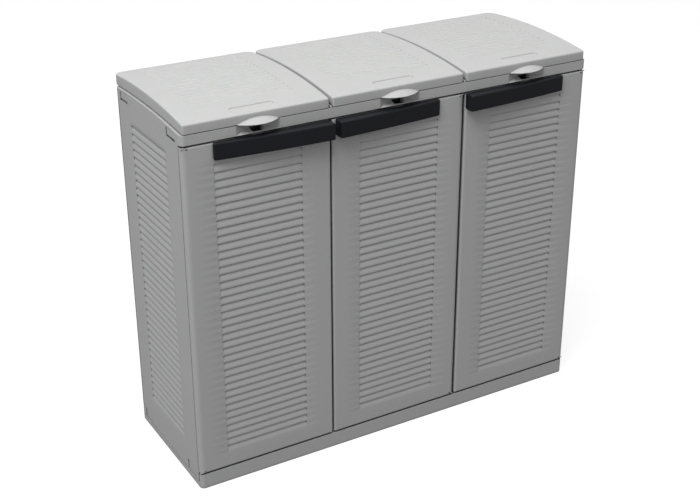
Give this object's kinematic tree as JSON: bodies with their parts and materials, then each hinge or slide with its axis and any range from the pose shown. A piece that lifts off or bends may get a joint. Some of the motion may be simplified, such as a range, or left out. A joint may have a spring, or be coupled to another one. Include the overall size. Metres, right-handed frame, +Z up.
{
  "type": "recycling bin station",
  "caption": "Free-standing waste-sorting cabinet with side-by-side bays, each with a louvred front door, a crowned lift-up lid and a bag holder inside.",
  "frame": {"origin": "middle of the footprint box at the floor, with the cabinet standing upright", "axes": "+X along the row of bays towards the viewer's right, +Y from the doors towards the back, +Z up"},
  "size_m": [1.02, 0.399, 0.875],
  "materials": {
    "body_plastic": "satin, fine moulded grain",
    "lid_plastic": "satin, fine moulded grain",
    "handle_plastic": "satin",
    "holder_plastic": "matt",
    "magnet_case": "matt",
    "pin_steel": "zinc plated",
    "screw_steel": "zinc plated"
  },
  "bodies": {
    "cabinet": {"base_tray": "body_plastic", "left_side_panel": "body_plastic", "right_side_panel": "body_plastic", "left_divider": "body_plastic", "right_divider": "body_plastic", "left_divider_post": "body_plastic", "right_divider_post": "body_plastic", "left_back_panel": "body_plastic", "middle_back_panel": "body_plastic", "right_back_panel": "body_plastic", "top_frame": "body_plastic", "left_door_magnet": "magnet_case", "middle_door_magnet": "magnet_case", "right_door_magnet": "magnet_case", "left_bag_frame": "holder_plastic", "middle_bag_frame": "holder_plastic", "right_bag_frame": "holder_plastic"},
    "left_door": {"left_door": "body_plastic", "left_handle": "handle_plastic", "left_handle_screws": "screw_steel", "left_door_pins": "pin_steel", "left_strike_plate": "pin_steel"},
    "middle_door": {"middle_door": "body_plastic", "middle_handle": "handle_plastic", "middle_handle_screws": "screw_steel", "middle_door_pins": "pin_steel", "middle_strike_plate": "pin_steel"},
    "right_door": {"right_door": "body_plastic", "right_handle": "handle_plastic", "right_handle_screws": "screw_steel", "right_door_pins": "pin_steel", "right_strike_plate": "pin_steel"},
    "left_lid": {"left_lid": "lid_plastic", "left_lid_rod": "pin_steel"},
    "middle_lid": {"middle_lid": "lid_plastic", "middle_lid_rod": "pin_steel"},
    "right_lid": {"right_lid": "lid_plastic", "right_lid_rod": "pin_steel"},
    "left_clamp": {"left_bag_clamp": "holder_plastic", "left_clamp_pins": "pin_steel"},
    "middle_clamp": {"middle_bag_clamp": "holder_plastic", "middle_clamp_pins": "pin_steel"},
    "right_clamp": {"right_bag_clamp": "holder_plastic", "right_clamp_pins": "pin_steel"}
  },
  "joints": [
    {"name": "left_door_hinge", "type": "hinge", "parent": "cabinet", "child": "left_door", "pos_m": [-0.5, -0.1645, 0.4], "axis": [0, 0, -1], "range_deg": [0, 105]},
    {"name": "middle_door_hinge", "type": "hinge", "parent": "cabinet", "child": "middle_door", "pos_m": [0.1585, -0.1645, 0.4], "axis": [0, 0, 1], "range_deg": [0, 90]},
    {"name": "right_door_hinge", "type": "hinge", "parent": "cabinet", "child": "right_door", "pos_m": [0.5, -0.1645, 0.4], "axis": [0, 0, 1], "range_deg": [0, 105]},
    {"name": "left_lid_hinge", "type": "hinge", "parent": "cabinet", "child": "left_lid", "pos_m": [-0.3385, 0.1865, 0.85045], "axis": [-1, 0, 0], "range_deg": [0, 95]},
    {"name": "middle_lid_hinge", "type": "hinge", "parent": "cabinet", "child": "middle_lid", "pos_m": [0, 0.1865, 0.85045], "axis": [-1, 0, 0], "range_deg": [0, 95]},
    {"name": "right_lid_hinge", "type": "hinge", "parent": "cabinet", "child": "right_lid", "pos_m": [0.3385, 0.1865, 0.85045], "axis": [-1, 0, 0], "range_deg": [0, 95]},
    {"name": "left_clamp_hinge", "type": "hinge", "parent": "cabinet", "child": "left_clamp", "pos_m": [-0.3385, 0.1535, 0.8339], "axis": [-1, 0, 0], "range_deg": [0, 4]},
    {"name": "middle_clamp_hinge", "type": "hinge", "parent": "cabinet", "child": "middle_clamp", "pos_m": [0, 0.1535, 0.8339], "axis": [-1, 0, 0], "range_deg": [0, 4]},
    {"name": "right_clamp_hinge", "type": "hinge", "parent": "cabinet", "child": "right_clamp", "pos_m": [0.3385, 0.1535, 0.8339], "axis": [-1, 0, 0], "range_deg": [0, 4]}
  ]
}
